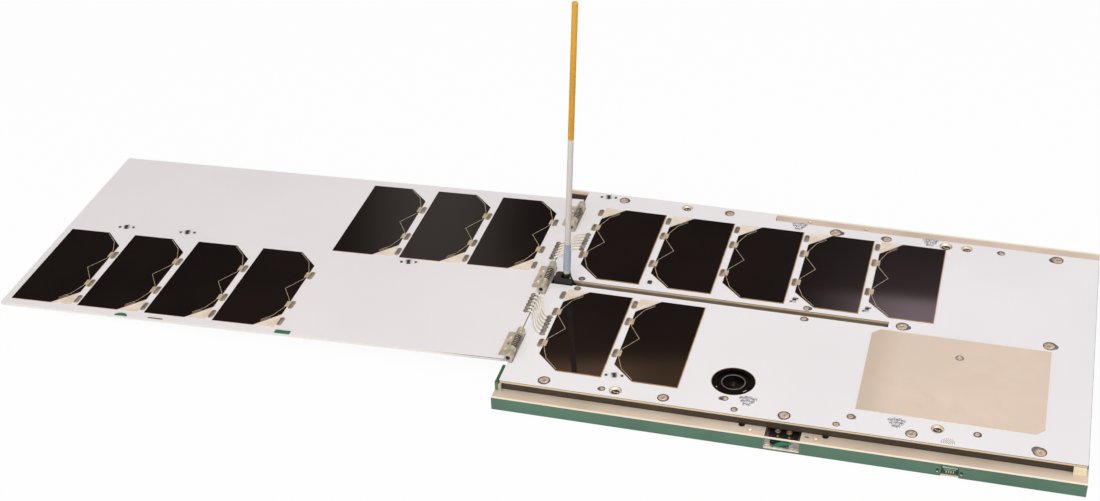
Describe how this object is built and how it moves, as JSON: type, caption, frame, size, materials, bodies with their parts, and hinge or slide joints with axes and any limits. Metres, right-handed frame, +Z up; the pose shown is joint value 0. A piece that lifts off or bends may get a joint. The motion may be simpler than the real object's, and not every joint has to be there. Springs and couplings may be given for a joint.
{
  "type": "flat small satellite",
  "caption": "Flat slab small satellite on its underside, with a sprung solar wing open at its left and a hinged whip antenna that folds into a channel.",
  "frame": {"origin": "centre of the tray's underside, between its end faces and its two side rails", "axes": "+X along the body away from the wing, +Y towards the side with the stepped panel edge, +Z up out of the cell side"},
  "size_m": [0.66, 0.2274, 0.2055],
  "materials": {
    "tray_metal": "satin anodised",
    "black_plastic": "moulded",
    "board_green": "lacquered circuit board",
    "board_white": "white lacquered circuit board",
    "battery_wrap": "plain heavy block",
    "spacer_metal": "plain",
    "screw_steel": "worn steel",
    "cell_glass": "solar cell under cover glass",
    "diode_cream": "cream",
    "solder": "dull solder",
    "patch_cream": "cream laminate",
    "lens_glass": "dark lens",
    "lever_green": "green",
    "hinge_metal": "bead blasted",
    "spring_steel": "dark spring wire",
    "wire_cream": "cream insulation",
    "tube_grey": "pale tube",
    "whip_orange": "orange sleeve",
    "sleeve_blue": "blue-grey shrink sleeve",
    "cream_block": "cream"
  },
  "bodies": {
    "body": {"base_tray": "tray_metal", "corner_block": "black_plastic", "side_board_front": "board_green", "side_board_back": "board_green", "base_board": "board_green", "battery_pack": "battery_wrap", "skirt": "spacer_metal", "body_panel": "board_white", "body_panel_front": "board_white", "body_panel_back": "board_white", "stand_offs": "spacer_metal", "panel_screws": "screw_steel", "body_cells": "cell_glass", "body_diodes": "diode_cream", "body_tabs": "solder", "patch_antenna": "patch_cream", "lens_barrel": "black_plastic", "lens_glass": "lens_glass", "release_switch": "spacer_metal", "release_bracket": "hinge_metal", "release_lever": "lever_green", "service_connector": "black_plastic", "gap_posts": "cream_block", "channel_strip": "tray_metal", "channel_walls": "tray_metal", "antenna_block": "black_plastic", "antenna_pin": "screw_steel", "hinge_brackets": "hinge_metal", "hinge_pins": "screw_steel", "hinge_springs": "spring_steel", "wires_front": "wire_cream", "wires_back": "wire_cream", "antenna_coax": "black_plastic", "body_wire_pads": "solder"},
    "wing": {"wing_panel": "board_white", "wing_cells": "cell_glass", "wing_diodes": "diode_cream", "wing_tabs": "solder", "hinge_leaves": "hinge_metal", "wing_wire_pads": "solder"},
    "antenna": {"antenna_tube": "tube_grey", "antenna_whip": "whip_orange", "antenna_sleeve": "sleeve_blue"}
  },
  "joints": [
    {"name": "wing hinge", "type": "hinge", "parent": "body", "child": "wing", "pos_m": [-0.164, 0, 0.0171], "axis": [0, 1, 0], "range_deg": [0, 182.12], "stiffness_Nm_per_rad": 0.02, "springref_deg": -20.05, "deforming": ["wires_front", "wires_back"]},
    {"name": "antenna hinge", "type": "hinge", "parent": "body", "child": "antenna", "pos_m": [-0.1522, -0.0004, 0.0117], "axis": [0, 1, 0], "range_deg": [0, 87.1], "deforming": ["antenna_coax"]}
  ],
  "couplings": [
    {"joint": "antenna hinge", "follows": "wing hinge", "ratio": 0.4782}
  ]
}
